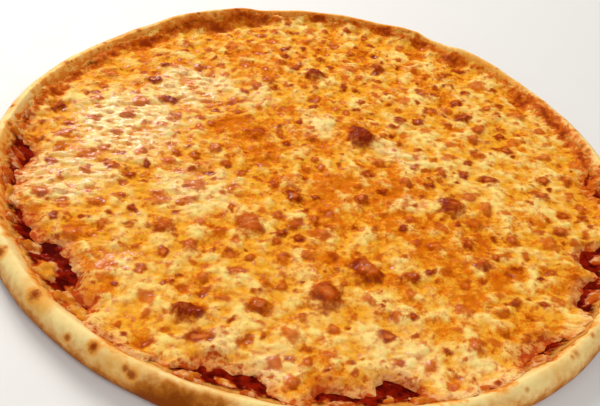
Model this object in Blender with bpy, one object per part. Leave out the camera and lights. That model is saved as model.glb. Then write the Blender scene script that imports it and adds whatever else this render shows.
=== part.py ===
"""A whole 16-inch cheese pizza, uncut: a stretched dough crust with a raised rim, a thin layer of
tomato sauce that shows in patches inside the rim, and a sheet of melted, blistered cheese.

Metres, +Z up. The origin is on the flat underside, at the middle of the outline. +X is to the
right and +Y is away from someone who looks at the pizza from the side of its palest rim.
"""

import math
import random

import bmesh
import bpy
from mathutils import Vector, noise
from mathutils.geometry import delaunay_2d_cdt

MM = 0.001

# Driving dimensions of the dough
PIZZA_RADIUS = 202.5 * MM
RIM_HEIGHT = 16.5 * MM
RIM_WIDTH = 12.5 * MM
BASE_THICKNESS = 4.5 * MM

# Driving dimensions of what lies on it
SAUCE_THICKNESS = 1.3 * MM
CHEESE_THICKNESS = 3.2 * MM
LAYER_GAP = 0.3 * MM

# The rim's section: distances in from the outline, and the height where the rim is widest
RIM_CONTACT_INSET = 5.5 * MM
RIM_CREST_INSET = 8.5 * MM
RIM_WIDEST_HEIGHT = 6.5 * MM
RIM_FOOT_BEYOND_WIDTH = 13.5 * MM
RIM_SLOPE_EASING = 0.65
RIM_LOWER_STEPS = 3
RIM_UPPER_STEPS = 4

# Slow departures from a true circle, as (waves round the pizza, size in mm, degrees of the peak)
OUTLINE_WAVES = ((2, 2.2, 64), (3, 0.8, -43))
RIM_WIDTH_WAVES = ((1, 1.2, -115), (3, 0.8, 30), (5, 0.6, 70))
RIM_HEIGHT_WAVES = ((5, 0.4, 20), (9, 0.4, 5))

# Where the rim is puffed or sunken, as (degrees, half span in degrees, height in mm)
RIM_LUMPS = (
    (-177, 9, 1.3),
    (158, 11, -1.7),
    (140, 6, -1.2),
    (121, 10, 2.2),
    (105, 5, -0.8),
    (88, 8, -0.8),
    (73, 3, 1.2),
    (66, 4, -1.4),
    (56, 7, 1.8),
    (34, 9, -0.7),
    (-48, 9, 0.6),
    (-71, 8, 1.0),
    (-97, 7, 1.2),
    (-121, 9, -0.6),
)

# Unevenness round the pizza, as (size, bumps per radius, slice of the noise): swellings of the rim about
# as long as a thumb, and the ragged edges of sauce and cheese
RIM_PUFFS = (1.1 * MM, 6, 3.5)
SAUCE_RAGS = (2.0 * MM, 12, 7.5)
CHEESE_RAGS = (2.4 * MM, 14, 11.5)

# How far the cheese stops inside the sauce's edge, and where the layers below its top become flat
CHEESE_STOPS_SHORT = 2.0 * MM
CHEESE_LEAST_SHORT = 1.5 * MM
FLAT_BEYOND_CHEESE = 4 * MM
FLAT_BEYOND_FOOT = 1 * MM

# Where the cheese stops short and the sauce lies bare, as (degrees, half span in degrees, depth in mm)
BARE_PATCHES = (
    (-178, 3, 6),
    (-168, 5, 12),
    (-160, 4, 6),
    (-149, 5, 8),
    (-137, 7, 19),
    (-127, 4, 8),
    (-108, 3, 4),
    (-99, 7, 14),
    (-82, 5, 8),
    (-73, 5, 13),
    (-58, 3, 3),
    (-45, 6, 8),
    (-26, 5, 11),
    (-15, 4, 17),
    (8, 5, 10),
    (25, 4, 6),
    (40, 4, 13),
    (61, 3, 10),
    (70, 3, 6),
    (79, 3, 5),
    (95, 3, 4),
    (110, 4, 10),
    (121, 5, 14),
    (140, 7, 10),
    (155, 4, 8),
    (162, 3, 6),
    (169, 3, 9),
)

# Blisters that stand out in the cheese, as (x, y, radius, height), all in mm
MAIN_BLISTERS = (
    (25, 37, 12, 3.4),
    (-10, 110, 8.5, 2.4),
    (34, 132, 9.5, 1.8),
    (98, 84, 7, 2.0),
    (86, -18, 10, 2.4),
    (-11, -36, 8.5, 2.2),
    (-34, -66, 9, 2.0),
    (35, -90, 10, 2.6),
    (60, -90, 6.5, 2.0),
    (15, -115, 11, 2.8),
    (-19, -129, 8, 2.4),
    (-54, -140, 9, 3.0),
    (-42, 24, 8, 1.6),
    (-107, 47, 6.5, 1.6),
    (-122, 68, 6, 1.6),
    (-82, -80, 7.5, 1.8),
)
# Further blisters by rule, as (number, smallest radius, largest radius, height for each radius)
BLISTER_SIZES_MM = ((50, 4.2, 6.2, 0.30), (72, 3.2, 4.2, 0.32))
BLISTER_SEED = 16
BLISTER_SPACING = 1.15
BLISTER_EDGE_MARGIN = 7 * MM
BLISTER_TRIES = 60

# A blister's mesh: points round its foot, and a shoulder on a big one as (share of radius, share of height)
BIG_BLISTER = 6 * MM
BIG_FOOT_POINTS = 8
SMALL_FOOT_POINTS = 6
BLISTER_SHOULDER = (0.6, 0.85)
BLISTER_UNEVEN = 0.16

# The cheese's own swell and its edge, which is thinner than the rest and rounded; the sauce's edge is too
CHEESE_SWELL = 0.7 * MM
CHEESE_SWELL_SIZE = 34 * MM
CHEESE_EDGE_ROUNDING = 7 * MM
CHEESE_EDGE_SHARE = 0.5
CHEESE_LIP = 0.9 * MM
SAUCE_EDGE_SHARE = 0.5

# How fine the solids are
SEGMENTS = 160
GRID_SPACING = 8.6 * MM
GRID_JITTER = 0.22
ROW_SPACING = GRID_SPACING * math.sqrt(0.75)
SHARP_EDGE_DEGREES = 50


def clear_scene():
    for thing in list(bpy.data.objects):
        bpy.data.objects.remove(thing, do_unlink=True)


def smooth_step(share):
    share = min(max(share, 0.0), 1.0)
    return share * share * (3 - 2 * share)


def waves(angle, table):
    """The sum of slow waves round the pizza at an angle, in metres."""
    return MM * sum(size * math.cos(count * (angle - math.radians(peak))) for count, size, peak in table)


def near(angle, middle, half_span):
    """1 in the middle of a stretch of the edge, half at its half span, 0 from one and a half spans on."""
    away = abs((math.degrees(angle) - middle + 180) % 360 - 180)
    return smooth_step(1.5 - away / half_span)


def uneven(angle, kind):
    """Noise round the pizza that closes on itself, in metres."""
    size, per_radius, slice_of_noise = kind
    spot = Vector((per_radius * math.cos(angle), per_radius * math.sin(angle), slice_of_noise))
    return size * noise.noise(spot)


def outline_radius(angle):
    return PIZZA_RADIUS + waves(angle, OUTLINE_WAVES)


def rim_width(angle):
    return RIM_WIDTH + waves(angle, RIM_WIDTH_WAVES)


def rim_height(angle):
    lumps = sum(high * MM * near(angle, middle, half_span) for middle, half_span, high in RIM_LUMPS)
    return RIM_HEIGHT + waves(angle, RIM_HEIGHT_WAVES) + uneven(angle, RIM_PUFFS) + lumps


def sauce_inset(angle):
    """How far in from the outline the sauce ends."""
    return rim_width(angle) + uneven(angle, SAUCE_RAGS)


def bare_depth(angle):
    """How much further in the cheese ends, over the patches of bare sauce."""
    return max(deep * MM * near(angle, middle, half_span) for middle, half_span, deep in BARE_PATCHES)


def cheese_inset(angle):
    """How far in from the outline the cheese ends."""
    short = CHEESE_STOPS_SHORT + bare_depth(angle) + uneven(angle, CHEESE_RAGS)
    return sauce_inset(angle) + max(short, CHEESE_LEAST_SHORT)


def rim_foot(angle):
    return rim_width(angle) + RIM_FOOT_BEYOND_WIDTH


def flat_inset(angle):
    """How far in from the outline every layer below the cheese's top lies flat."""
    return max(cheese_inset(angle) + FLAT_BEYOND_CHEESE, rim_foot(angle) + FLAT_BEYOND_FOOT)


def dough_top(angle, inset):
    """Height of the dough inside the rim's crest, steep below the crest and then easing to the base."""
    share = max(inset - RIM_CREST_INSET, 0.0) / (rim_foot(angle) - RIM_CREST_INSET)
    down = smooth_step(share ** RIM_SLOPE_EASING)
    return BASE_THICKNESS + (rim_height(angle) - BASE_THICKNESS) * (1 - down)


def point_at(angle, inset, height):
    radius = outline_radius(angle) - inset
    return Vector((radius * math.cos(angle), radius * math.sin(angle), height))


def segment_angles():
    return [2 * math.pi * step / SEGMENTS for step in range(SEGMENTS)]


def add_ring(mesh, inset_of, height_of):
    """One closed ring of points, at an inset and a height that depend on the angle."""
    return [mesh.verts.new(point_at(a, inset_of(a), height_of(a))) for a in segment_angles()]


def join_rings(mesh, rings):
    """Walls between rings, with faces out. Every diagonal leans the same way, so that layers nest."""
    for lower, upper in zip(rings, rings[1:]):
        inwards = upper[0].co.xy.length < lower[0].co.xy.length
        for step in range(SEGMENTS):
            after = (step + 1) % SEGMENTS
            if inwards:
                mesh.faces.new((lower[step], lower[after], upper[step]))
                mesh.faces.new((lower[after], upper[after], upper[step]))
            else:
                mesh.faces.new((lower[step], lower[after], upper[after]))
                mesh.faces.new((lower[step], upper[after], upper[step]))


def principled(name, hex_colour, roughness):
    """A plain food material with an sRGB colour."""
    material = bpy.data.materials.new(name)
    material.use_nodes = True
    channels = [int(hex_colour[i : i + 2], 16) / 255 for i in (0, 2, 4)]
    linear = [c / 12.92 if c <= 0.04045 else ((c + 0.055) / 1.055) ** 2.4 for c in channels]
    shader = material.node_tree.nodes["Principled BSDF"]
    shader.inputs["Base Color"].default_value = (*linear, 1)
    shader.inputs["Roughness"].default_value = roughness
    shader.inputs["Metallic"].default_value = 0.0
    return material


def outline_middle():
    """The middle of the outline's extents, which becomes the origin."""
    spots = [point_at(a, 0, 0) for a in segment_angles()]
    across = [spot.x for spot in spots]
    along = [spot.y for spot in spots]
    return Vector((min(across) + max(across), min(along) + max(along), 0)) / 2


def add_object(name, mesh, material):
    """Turns a finished bmesh into a named object with smooth faces and its own material."""
    bmesh.ops.translate(mesh, verts=mesh.verts, vec=-outline_middle())
    mesh.normal_update()
    data = bpy.data.meshes.new(name)
    mesh.to_mesh(data)
    mesh.free()
    data.shade_smooth()
    data.set_sharp_from_angle(angle=math.radians(SHARP_EDGE_DEGREES))
    data.materials.append(material)
    thing = bpy.data.objects.new(name, data)
    bpy.context.scene.collection.objects.link(thing)
    return thing


def rim_sections():
    """The rim's section from the table to its crest, as (inset, lowest height, share of the crest's rise)."""
    sections = []
    for step in range(RIM_LOWER_STEPS):
        turn = math.pi / 2 * step / RIM_LOWER_STEPS
        inset = RIM_CONTACT_INSET * (1 - math.sin(turn))
        sections.append((inset, RIM_WIDEST_HEIGHT * (1 - math.cos(turn)), 0.0))
    for step in range(RIM_UPPER_STEPS + 1):
        turn = math.pi / 2 * step / RIM_UPPER_STEPS
        sections.append((RIM_CREST_INSET * (1 - math.cos(turn)), RIM_WIDEST_HEIGHT, math.sin(turn)))
    return sections


def crest_rise(angle):
    return rim_height(angle) - RIM_WIDEST_HEIGHT


def below_crest(angle):
    return (RIM_CREST_INSET + sauce_inset(angle)) / 2


def between_edges(angle):
    return (sauce_inset(angle) + cheese_inset(angle)) / 2


def above_foot(angle):
    return (cheese_inset(angle) + flat_inset(angle)) / 2


def layer_insets():
    """Insets of the rings that dough, sauce and cheese share, from the sauce's edge inwards."""
    return [sauce_inset, between_edges, cheese_inset, above_foot, flat_inset]


def dough_height(inset_of):
    return lambda a: dough_top(a, inset_of(a)) if inset_of is not flat_inset else BASE_THICKNESS


def sauce_bottom(inset_of):
    return lambda a: dough_height(inset_of)(a) + LAYER_GAP


def sauce_top(inset_of):
    """The sauce is thin at its outer edge, and of full thickness from there on."""
    thickness = SAUCE_THICKNESS * (SAUCE_EDGE_SHARE if inset_of is sauce_inset else 1.0)
    return lambda a: sauce_bottom(inset_of)(a) + thickness


def cheese_bottom(inset_of):
    return lambda a: sauce_top(inset_of)(a) + LAYER_GAP


def make_crust():
    mesh = bmesh.new()
    rings = [
        add_ring(mesh, lambda a: inset, lambda a: height + share * crest_rise(a))
        for inset, height, share in rim_sections()
    ]
    for inset_of in [below_crest] + layer_insets():
        rings.append(add_ring(mesh, inset_of, dough_height(inset_of)))
    join_rings(mesh, rings)
    mesh.faces.new(list(reversed(rings[0])))
    mesh.faces.new(rings[-1])
    return add_object("crust", mesh, principled("baked_dough", "E8C07A", 0.6))


def make_sauce():
    mesh = bmesh.new()
    inwards = layer_insets()
    under = [add_ring(mesh, inset_of, sauce_bottom(inset_of)) for inset_of in reversed(inwards)]
    over = [add_ring(mesh, inset_of, sauce_top(inset_of)) for inset_of in inwards]
    join_rings(mesh, under + over)
    mesh.faces.new(list(reversed(under[0])))
    mesh.faces.new(over[-1])
    return add_object("sauce", mesh, principled("tomato_sauce", "8A2413", 0.35))


def polar(x, y):
    """(angle, inset) of a point seen from above."""
    angle = math.atan2(y, x)
    return angle, outline_radius(angle) - math.hypot(x, y)


def blisters():
    """(x, y, radius, height) of every blister large enough to be relief, in metres, largest first."""
    placed = [tuple(value * MM for value in row) for row in MAIN_BLISTERS]
    draw = random.Random(BLISTER_SEED)
    for number, smallest, largest, steepness in BLISTER_SIZES_MM:
        for _ in range(number):
            for _ in range(BLISTER_TRIES):
                angle = draw.uniform(-math.pi, math.pi)
                distance = PIZZA_RADIUS * math.sqrt(draw.random())
                radius = draw.uniform(smallest, largest) * MM
                x, y = distance * math.cos(angle), distance * math.sin(angle)
                inside = polar(x, y)[1] - radius > cheese_inset(angle) + BLISTER_EDGE_MARGIN
                apart = all(
                    math.hypot(x - bx, y - by) > BLISTER_SPACING * (radius + br) for bx, by, br, _ in placed
                )
                if inside and apart:
                    placed.append((x, y, radius, radius * steepness))
                    break
    return placed


def cheese_top(x, y):
    """Height of the cheese between its blisters: thick inside, thin and rounded at the edge."""
    angle, inset = polar(x, y)
    from_edge = max(inset - cheese_inset(angle), 0.0)
    sauce_below = dough_top(angle, inset) + SAUCE_THICKNESS + 2 * LAYER_GAP
    rounding = min(from_edge / CHEESE_EDGE_ROUNDING, 1.0)
    share = CHEESE_EDGE_SHARE + (1 - CHEESE_EDGE_SHARE) * math.sqrt(1 - (1 - rounding) ** 2)
    swell = noise.noise(Vector((x, y, 0)) / CHEESE_SWELL_SIZE) * CHEESE_SWELL * rounding
    return sauce_below + CHEESE_THICKNESS * share + swell


def blister_points(x, y, radius, height):
    """Points of one blister as (x, y, rise): a ring at its foot, a shoulder if it is big, and its top."""
    points = [(x, y, height)]
    circles = [(1.0, 0.0, SMALL_FOOT_POINTS)]
    if radius >= BIG_BLISTER:
        circles = [(1.0, 0.0, BIG_FOOT_POINTS), (*BLISTER_SHOULDER, SMALL_FOOT_POINTS)]
    for reach, rise, count in circles:
        for step in range(count):
            turn = 2 * math.pi * step / count + x / radius
            away = reach * radius * (1 + BLISTER_UNEVEN * math.sin(2 * turn + y / radius))
            points.append((x + away * math.cos(turn), y + away * math.sin(turn), rise * height))
    return points


def plain_points(blister_list, draw):
    """A jittered triangular grid of points over the cheese, kept off the blisters and the edge."""
    rows = int(PIZZA_RADIUS / ROW_SPACING) + 1
    columns = int(PIZZA_RADIUS / GRID_SPACING) + 1
    points = []
    for row in range(-rows, rows + 1):
        for column in range(-columns, columns + 1):
            x = (column + 0.5 * (row % 2) + draw.uniform(-GRID_JITTER, GRID_JITTER)) * GRID_SPACING
            y = row * ROW_SPACING + draw.uniform(-GRID_JITTER, GRID_JITTER) * GRID_SPACING
            angle, inset = polar(x, y)
            inside = inset > cheese_inset(angle) + CHEESE_EDGE_ROUNDING + GRID_SPACING / 2
            clear = all(math.hypot(x - bx, y - by) > br + GRID_SPACING / 2 for bx, by, br, _ in blister_list)
            if inside and clear:
                points.append((x, y, 0.0))
    return points


def make_cheese():
    """A closed sheet: a flat underside on the sauce, a short side, and a blistered top."""
    mesh = bmesh.new()
    outwards = (flat_inset, above_foot, cheese_inset)
    under = [add_ring(mesh, inset_of, cheese_bottom(inset_of)) for inset_of in outwards]

    flat_points = []
    for beyond_edge in (CHEESE_LIP, CHEESE_EDGE_ROUNDING):
        for angle in segment_angles():
            spot = point_at(angle, cheese_inset(angle) + beyond_edge, 0)
            flat_points.append((spot.x, spot.y, 0.0))
    blister_list = blisters()
    for blister in blister_list:
        flat_points.extend(blister_points(*blister))
    flat_points.extend(plain_points(blister_list, random.Random(BLISTER_SEED)))

    border = list(range(SEGMENTS))
    found = delaunay_2d_cdt([Vector(p[:2]) for p in flat_points], [], [border], 1, 1e-6)
    top = []
    for spot, origins in zip(found[0], found[3]):
        rise = flat_points[origins[0]][2]
        top.append(mesh.verts.new((spot.x, spot.y, cheese_top(spot.x, spot.y) + rise)))
    for corners in found[2]:
        mesh.faces.new([top[i] for i in corners])

    place = {origins[0]: index for index, origins in enumerate(found[3])}
    lip = [top[place[step]] for step in border]
    join_rings(mesh, under + [lip])
    mesh.faces.new(list(reversed(under[0])))
    bmesh.ops.recalc_face_normals(mesh, faces=mesh.faces)
    return add_object("cheese", mesh, principled("melted_cheese", "E9A443", 0.4))


def main():
    clear_scene()
    pizza = bpy.data.objects.new("pizza", None)
    bpy.context.scene.collection.objects.link(pizza)
    for layer in (make_crust(), make_sauce(), make_cheese()):
        layer.parent = pizza


main()
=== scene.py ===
"""The looks of a whole, uncut cheese pizza: browned dough, tomato sauce and melted, blistered cheese.

The three layers of the frame are replaced by finer meshes of the same form. All sizes are in metres and +Z
is up. The shape's own formulas are the ones that the solids were made from, and the fine relief lies on top.
"""

import math
import random

import bpy
import numpy as np
from bpy.props import FloatProperty, FloatVectorProperty, PointerProperty
from mathutils import Matrix, Vector, noise


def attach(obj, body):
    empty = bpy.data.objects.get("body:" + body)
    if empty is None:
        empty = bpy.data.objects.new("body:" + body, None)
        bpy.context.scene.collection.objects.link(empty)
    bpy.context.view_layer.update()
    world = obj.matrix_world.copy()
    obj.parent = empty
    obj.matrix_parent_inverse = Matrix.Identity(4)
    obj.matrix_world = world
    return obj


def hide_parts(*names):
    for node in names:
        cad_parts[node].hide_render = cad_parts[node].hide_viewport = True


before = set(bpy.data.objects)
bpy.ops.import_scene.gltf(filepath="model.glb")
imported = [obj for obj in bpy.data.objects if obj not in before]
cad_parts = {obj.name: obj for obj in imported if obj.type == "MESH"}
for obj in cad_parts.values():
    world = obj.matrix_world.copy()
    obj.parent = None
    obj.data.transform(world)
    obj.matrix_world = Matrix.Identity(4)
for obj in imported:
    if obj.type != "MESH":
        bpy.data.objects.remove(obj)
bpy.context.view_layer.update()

bl_info = {
    "name": "Cheese pizza",
    "version": (1, 0, 0),
    "blender": (4, 5, 0),
    "location": "View3D > Sidebar > Pizza",
    "description": "Builds the visible layers of a whole cheese pizza and its studio",
    "category": "Add Mesh",
}

MM = 0.001
BODY = "root"

# The solids' driving dimensions
PIZZA_RADIUS = 202.5 * MM
RIM_HEIGHT = 16.5 * MM
RIM_WIDTH = 12.5 * MM
BASE_THICKNESS = 4.5 * MM
SAUCE_THICKNESS = 1.3 * MM
CHEESE_THICKNESS = 3.2 * MM
LAYER_GAP = 0.3 * MM
RIM_CONTACT_INSET = 5.5 * MM
RIM_CREST_INSET = 8.5 * MM
RIM_WIDEST_HEIGHT = 6.5 * MM
RIM_FOOT_BEYOND_WIDTH = 13.5 * MM
RIM_SLOPE_EASING = 0.65
CHEESE_STOPS_SHORT = 2.0 * MM
CHEESE_LEAST_SHORT = 1.5 * MM
CHEESE_SWELL = 0.7 * MM
CHEESE_SWELL_SIZE = 34 * MM

# Waves round the pizza, as (waves, size in mm, degrees of the peak)
OUTLINE_WAVES = ((2, 2.2, 64), (3, 0.8, -43))
RIM_WIDTH_WAVES = ((1, 1.2, -115), (3, 0.8, 30), (5, 0.6, 70))
RIM_HEIGHT_WAVES = ((5, 0.4, 20), (9, 0.4, 5))

# Where the rim is puffed or sunken, as (degrees, half span in degrees, height in mm)
RIM_LUMPS = (
    (-177, 9, 1.3), (158, 11, -1.7), (140, 6, -1.2), (121, 10, 2.2), (105, 5, -0.8),
    (88, 8, -0.8), (73, 3, 1.2), (66, 4, -1.4), (56, 7, 1.8), (34, 9, -0.7),
    (-48, 9, 0.6), (-71, 8, 1.0), (-97, 7, 1.2), (-121, 9, -0.6),
)

# Noise round the pizza, as (size, bumps per radius, slice of the noise)
RIM_PUFFS = (1.1 * MM, 6, 3.5)
SAUCE_RAGS = (2.0 * MM, 12, 7.5)
CHEESE_RAGS = (2.4 * MM, 14, 11.5)

# Where the sauce lies bare, as (degrees, half span in degrees, depth in mm)
BARE_PATCHES = (
    (-178, 3, 6), (-168, 5, 12), (-160, 4, 6), (-149, 5, 8), (-137, 7, 19), (-127, 4, 8), (-108, 3, 4),
    (-99, 7, 14), (-82, 5, 8), (-73, 5, 13), (-58, 3, 3), (-45, 6, 8), (-26, 5, 11), (-15, 4, 17),
    (8, 5, 10), (25, 4, 6), (40, 4, 13), (61, 3, 10), (70, 3, 6), (79, 3, 5), (95, 3, 4),
    (110, 4, 10), (121, 5, 14), (140, 7, 10), (155, 4, 8), (162, 3, 6), (169, 3, 9),
)

# How much the edge of the topping browned into one with the rim, as (degrees, half span in degrees, share)
EDGE_BROWNING = ((90, 75, 1.0), (166, 11, 0.75), (14, 14, 0.35), (-38, 12, 0.15), (-178, 10, 0.15))

# Where the sauce baked on to a red-brown strip inside the rim, as (degrees, half span in degrees, share)
BAKED_STRIPS = ((135, 34, 0.62), (168, 14, 0.55), (88, 14, 0.35), (60, 24, 0.35), (24, 22, 0.8))

# Where the sauce reddened the edge of the cheese, as (degrees, half span in degrees, share)
REDDENED_EDGES = (
    (3, 8, 0.7), (-12, 6, 0.9), (-24, 6, 0.7), (-46, 7, 1.0), (-69, 5, 0.8), (-86, 6, 1.0), (-106, 6, 0.9),
    (-118, 6, 1.2), (-127, 5, 1.1), (-149, 6, 0.8), (-163, 6, 0.6), (-175, 7, 0.8),
)

# Where fat and cheese ran up on the rim, as (degrees, half span in degrees, how far in mm)
RIM_STAINS = (
    (-133, 4, 4), (-115, 4, 7), (-147, 4, 5), (-156, 5, 4), (-171, 6, 2), (-57, 3, 6), (-66, 3, 6),
    (-80, 5, 2), (162, 13, 4), (136, 13, 4.5), (110, 13, 4.5), (84, 13, 3.5), (58, 13, 1.5), (32, 13, 1.5),
    (-124, 16, -2.5), (-150, 8, -1.5), (-90, 14, -2), (-60, 12, -2),
)

# Where the flank of the rim browned most, as (degrees, half span in degrees, share)
BROWNED_FLANKS = (
    (-103, 6, 0.3), (-97, 11, 0.3), (-62, 7, 0.12), (-30, 9, 0.1), (20, 10, 0.16), (58, 6, 0.25),
    (97, 12, 0.15), (141, 7, 0.22), (178, 8, 0.14), (-152, 6, 0.12),
)

# Blisters that stand out in the cheese, as (x, y, radius, height), all in mm, and how dark each is
MAIN_BLISTERS = (
    (25, 37, 12, 3.4), (-10, 110, 8.5, 2.4), (34, 132, 9.5, 1.8), (98, 84, 7, 2.0), (86, -18, 10, 2.4),
    (-11, -36, 8.5, 2.2), (-34, -66, 9, 2.0), (35, -90, 10, 2.6), (60, -90, 6.5, 2.0), (15, -115, 11, 2.8),
    (-19, -129, 8, 2.4), (-54, -140, 9, 3.0), (-42, 24, 8, 1.6), (-107, 47, 6.5, 1.6),
    (-122, 68, 6, 1.6), (-82, -80, 7.5, 1.8),
)
MAIN_DARKNESS = (2.2, 2.1, 1.1, 0.75, 0.95, 0.75, 0.5, 0.65, 0.65, 0.65, 0.55, 1.4, 0.6, 0.9, 1.0, 0.55)
BLISTER_SIZES_MM = ((50, 4.2, 6.2, 0.30), (72, 3.2, 4.2, 0.32))
BLISTER_SEED = 16
BLISTER_SPACING = 1.15
BLISTER_EDGE_MARGIN = 7 * MM
BLISTER_TRIES = 60

# The camera that the photograph's outline fits: where it stands, how far it looks down, and its roll
CAMERA_PLACE = Vector((-7.0, -427.0, 327.0)) * MM
CAMERA_PITCH = math.radians(39.4)
CAMERA_ROLL = math.radians(9.37)
CAMERA_LENS_MM = 50
CAMERA_SENSOR_MM = 36

# How fine the meshes are
AROUND = 1440
CHEESE_CELLS = 296


def smooth_step(share):
    share = np.clip(share, 0.0, 1.0)
    return share * share * (3 - 2 * share)


def linear(hex_colour):
    """An sRGB hex colour as the linear RGB that Blender's sockets take."""
    channels = [int(hex_colour[i : i + 2], 16) / 255 for i in (0, 2, 4)]
    return tuple(c / 12.92 if c <= 0.04045 else ((c + 0.055) / 1.055) ** 2.4 for c in channels)


# The shape's formulas, by angle round the pizza

CHEESE_LAP = 1.8 * MM
CHEESE_LAP_ENDS = 9 * MM
CHEESE_LAP_EASING = 1.15
CHEESE_OFF_CREST = 2.2 * MM
EDGE_SMOOTHING = 8


def waves(angle, table):
    return MM * sum(size * math.cos(count * (angle - math.radians(peak))) for count, size, peak in table)


def degrees_from(angle, middle):
    """How many degrees an angle in radians is past a middle in degrees, the short way round."""
    return (np.degrees(angle) - middle + 180) % 360 - 180


def near(angle, middle, half_span):
    """1 in the middle of a stretch of the edge, half at its half span, 0 from one and a half spans on."""
    return float(smooth_step(1.5 - abs(degrees_from(angle, middle)) / half_span))


def strongest(angle, table):
    """The largest value of a table of (degrees, half span in degrees, value) at an angle."""
    return max(value * near(angle, middle, half_span) for middle, half_span, value in table)


def summed(angle, table):
    """The sum of such a table's values at an angle."""
    return sum(value * near(angle, middle, half_span) for middle, half_span, value in table)


def uneven(angle, kind):
    size, per_radius, slice_of_noise = kind
    spot = Vector((per_radius * math.cos(angle), per_radius * math.sin(angle), slice_of_noise))
    return size * noise.noise(spot)


def outline_radius(angle):
    return PIZZA_RADIUS + waves(angle, OUTLINE_WAVES)


def rim_width(angle):
    return RIM_WIDTH + waves(angle, RIM_WIDTH_WAVES)


def rim_height(angle):
    lumps = MM * summed(angle, RIM_LUMPS)
    return RIM_HEIGHT + waves(angle, RIM_HEIGHT_WAVES) + uneven(angle, RIM_PUFFS) + lumps


def rim_foot(angle):
    return rim_width(angle) + RIM_FOOT_BEYOND_WIDTH


def sauce_inset(angle):
    return rim_width(angle) + uneven(angle, SAUCE_RAGS)


def cheese_inset(angle):
    short = CHEESE_STOPS_SHORT + MM * strongest(angle, BARE_PATCHES) + uneven(angle, CHEESE_RAGS)
    return sauce_inset(angle) + max(short, CHEESE_LEAST_SHORT)


def reaching_inset(angle):
    """The cheese's inset, but lapping onto the rim between the bare patches, and over browned ones."""
    short = cheese_inset(angle) - sauce_inset(angle)
    bare = 1 - float(smooth_step(CHEESE_LAP_EASING - short / CHEESE_LAP_ENDS))
    bare *= 1 - strongest(angle, EDGE_BROWNING)
    lapping = sauce_inset(angle) - CHEESE_LAP + (short + CHEESE_LAP) * bare
    return max(lapping, RIM_CREST_INSET + CHEESE_OFF_CREST)


def melted(insets):
    """Insets round the pizza without sharp corners, as melting leaves them."""
    reach = range(-EDGE_SMOOTHING, EDGE_SMOOTHING + 1)
    weights = [math.exp(-2 * (step / EDGE_SMOOTHING) ** 2) for step in reach]
    smooth = sum(w * np.roll(insets[:-1], step) for w, step in zip(weights, reach)) / sum(weights)
    return np.append(smooth, smooth[0])


ANGLES = [2 * math.pi * step / AROUND for step in range(AROUND + 1)]


def around(measure, *table):
    """A measure at every step round the pizza."""
    return np.array([measure(angle, *table) for angle in ANGLES])


EDGE = {
    "outline": around(outline_radius),
    "height": around(rim_height),
    "foot": around(rim_foot),
    "sauce": around(sauce_inset),
    "cheese": around(cheese_inset),
    "melted": melted(around(reaching_inset)),
    "browning": around(strongest, EDGE_BROWNING),
    "strip": around(strongest, BAKED_STRIPS),
    "reddened": around(strongest, REDDENED_EDGES),
    "ran up": around(summed, RIM_STAINS) * MM,
    "flank": around(summed, BROWNED_FLANKS),
}


def at(what, angle):
    """The value of one of EDGE's measures at any angles."""
    return np.interp(np.mod(angle, 2 * math.pi), ANGLES, EDGE[what])


def outline_middle():
    """The middle of the outline's extents, which the solids have as their origin."""
    across = EDGE["outline"] * np.cos(ANGLES)
    along = EDGE["outline"] * np.sin(ANGLES)
    return Vector((across.min() + across.max(), along.min() + along.max(), 0)) / 2


def polar(x, y):
    """(angle, inset from the outline) of points seen from above."""
    angle = np.arctan2(y, x)
    return angle, at("outline", angle) - np.hypot(x, y)


def dough_top(angle, inset):
    """Height of the dough inside the rim's crest."""
    share = np.clip((inset - RIM_CREST_INSET) / (at("foot", angle) - RIM_CREST_INSET), 0, 1)
    down = smooth_step(share**RIM_SLOPE_EASING)
    return BASE_THICKNESS + (at("height", angle) - BASE_THICKNESS) * (1 - down)


STRIP_MIDDLE = 2.5 * MM
STRIP_HALF_WIDTH = 8.5 * MM
BLOT_MARGIN = 2.0 * MM


def blot_depth(angle, inset):
    """1 in the middle of a bare patch or a baked strip, 0 at its outline, and at least -1 anywhere."""
    past_sauce = inset - at("sauce", angle)
    depth = np.full(np.shape(angle), -1.0)
    for middle, half_span, deep in BARE_PATCHES:
        half_deep = deep * MM / 2
        beyond = (past_sauce - half_deep) / (half_deep + BLOT_MARGIN)
        depth = np.maximum(depth, 1 - np.hypot(degrees_from(angle, middle) / (half_span + 1), beyond))
    strip = at("strip", angle)
    beyond = np.abs(past_sauce - STRIP_MIDDLE) / STRIP_HALF_WIDTH
    return np.maximum(depth, np.where(strip > 0.01, strip - beyond, -1))


# Noise over the plane

# Patterns, as rows of (size of the bumps in mm, slice of the noise, height)
PATTERNS = {
    "spot fray": ((3.0, 21.5, 1.0), (1.5, 23.5, 0.6)),
    "melt push": ((7, 41.5, 1.0),),
    "lumps, clots and beads": ((11, 45.5, 1.1), (6, 47.5, 1.0), (3.2, 49.5, 0.35)),
    "sauce edge": ((8, 51.5, 1.0), (3, 53.5, 0.6)),
    "pulp": ((5, 55.5, 1.0),),
    "islands": ((6, 59.5, 0.8), (2.6, 60.5, 0.4)),
    "island tops": ((3.5, 71.5, 0.7),),
    "edge across": ((9, 61.5, 1.0), (3.6, 62.5, 0.7)),
    "edge along": ((9, 65.5, 1.0), (3.6, 66.5, 0.7)),
    "shred wander": ((42, 81.5, 1.0),),
}
MELT_SLICE = 43.5
PULP_STRANDS = (3 * MM, 57.5)
SHREDS = (3.6 * MM, 82.5)
SHRED_SLOPE = 0.1
SHRED_WANDER = 7 * MM
SHRED_STRETCH = 3.4
RIDGE_SHARPNESS = 2.2


def bumps(x, y, size, level):
    """Smooth noise from -1 to 1 with bumps of a size in metres. The level is a slice of the noise, or each
    point's height as a share of the size."""
    spots = zip((x / size).tolist(), (y / size).tolist(), np.broadcast_to(level, x.shape).tolist())
    return np.array([noise.noise(spot) for spot in spots])


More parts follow.
